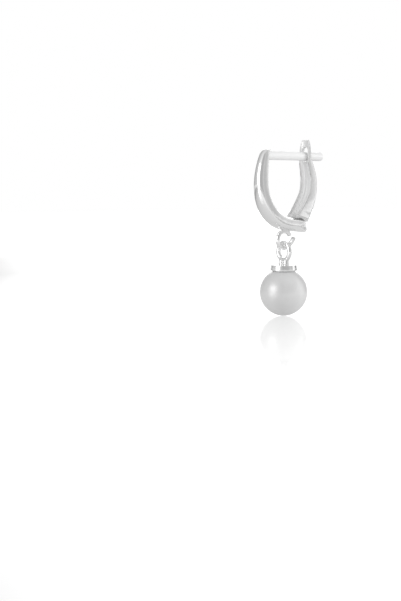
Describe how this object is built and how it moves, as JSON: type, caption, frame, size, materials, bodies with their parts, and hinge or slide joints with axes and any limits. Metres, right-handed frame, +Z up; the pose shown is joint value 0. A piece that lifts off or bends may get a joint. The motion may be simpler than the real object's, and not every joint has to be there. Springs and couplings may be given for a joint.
{
  "type": "pearl drop earring with a lever-back",
  "caption": "Lever-back drop earring: a tapering polished silver hoop with a hinged latch behind, and a round pearl hung below it on interlocking rings.",
  "frame": {"origin": "middle of the gap for the ear lobe, on the axis of the ear post", "axes": "+Z up, -Y to the front of the ear where the domed band faces, +Y back along the post, +X to the right of a viewer who looks along +Y"},
  "size_m": [0.007, 0.0124, 0.0258],
  "materials": {
    "silver": "polished silver, rhodium plated",
    "pearl": "white pearl with a satin lustre"
  },
  "bodies": {
    "hoop_body": {"hoop": "silver", "hinge_pin": "silver"},
    "latch_body": {"latch": "silver"},
    "drop_body": {"pearl_cap": "silver", "pearl": "pearl"}
  },
  "joints": [
    {"name": "latch_open", "type": "hinge", "parent": "hoop_body", "child": "latch_body", "pos_m": [0, 0.00236, -0.01026], "axis": [-1, 0, 0], "range_deg": [0, 60]},
    {"name": "drop_swing", "type": "hinge", "parent": "hoop_body", "child": "drop_body", "pos_m": [0, -0.0004, -0.01266], "axis": [1, 0, 0], "range_deg": [-80, 80]}
  ]
}
